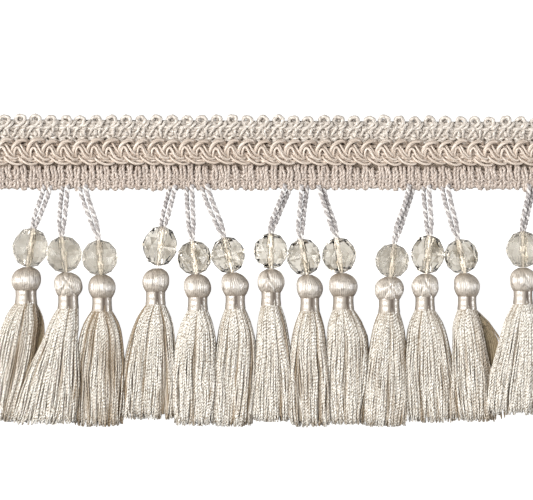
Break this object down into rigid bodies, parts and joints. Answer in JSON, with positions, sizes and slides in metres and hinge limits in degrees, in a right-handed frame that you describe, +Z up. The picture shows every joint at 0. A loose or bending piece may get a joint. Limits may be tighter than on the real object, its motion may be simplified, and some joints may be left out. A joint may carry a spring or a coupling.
{
  "type": "beaded tassel fringe",
  "caption": "Length of cream trim lying flat: a gimp heading with a raised braid, and bound floss tassels hung from it on twisted cords, each with a clear cut bead above its head.",
  "frame": {"origin": "middle of the footprint, on the surface that the fringe lies on", "axes": "+X along the heading, +Y from the tassels' hems up to the picot edge, +Z up out of the surface"},
  "size_m": [0.1906, 0.0938, 0.0097],
  "materials": {
    "tape": "matt woven ground",
    "gimp": "satin gimp cord, beige with a faint pink",
    "braid": "satin gimp cord, beige with a faint pink",
    "cord": "twisted rayon cord, soft sheen",
    "bead": "clear acrylic, cut and polished, faint champagne tint",
    "floss": "champagne rayon floss, silky"
  },
  "bodies": {
    "root": {"heading_tape": "tape", "scroll_gimp": "gimp", "centre_braid": "braid", "ribbed_gimp": "gimp", "hanger_01": "cord", "hanger_02": "cord", "hanger_03": "cord", "hanger_04": "cord", "hanger_05": "cord", "hanger_06": "cord", "hanger_07": "cord", "hanger_08": "cord", "hanger_09": "cord", "hanger_10": "cord", "hanger_11": "cord", "hanger_12": "cord", "hanger_13": "cord", "hanger_14": "cord", "hanger_15": "cord", "bead_01": "bead", "bead_02": "bead", "bead_03": "bead", "bead_04": "bead", "bead_05": "bead", "bead_06": "bead", "bead_07": "bead", "bead_08": "bead", "bead_09": "bead", "bead_10": "bead", "bead_11": "bead", "bead_12": "bead", "bead_13": "bead", "bead_14": "bead", "bead_15": "bead", "tassel_01": "floss", "tassel_02": "floss", "tassel_03": "floss", "tassel_04": "floss", "tassel_05": "floss", "tassel_06": "floss", "tassel_07": "floss", "tassel_08": "floss", "tassel_09": "floss", "tassel_10": "floss", "tassel_11": "floss", "tassel_12": "floss", "tassel_13": "floss", "tassel_14": "floss", "tassel_15": "floss"}
  },
  "joints": []
}
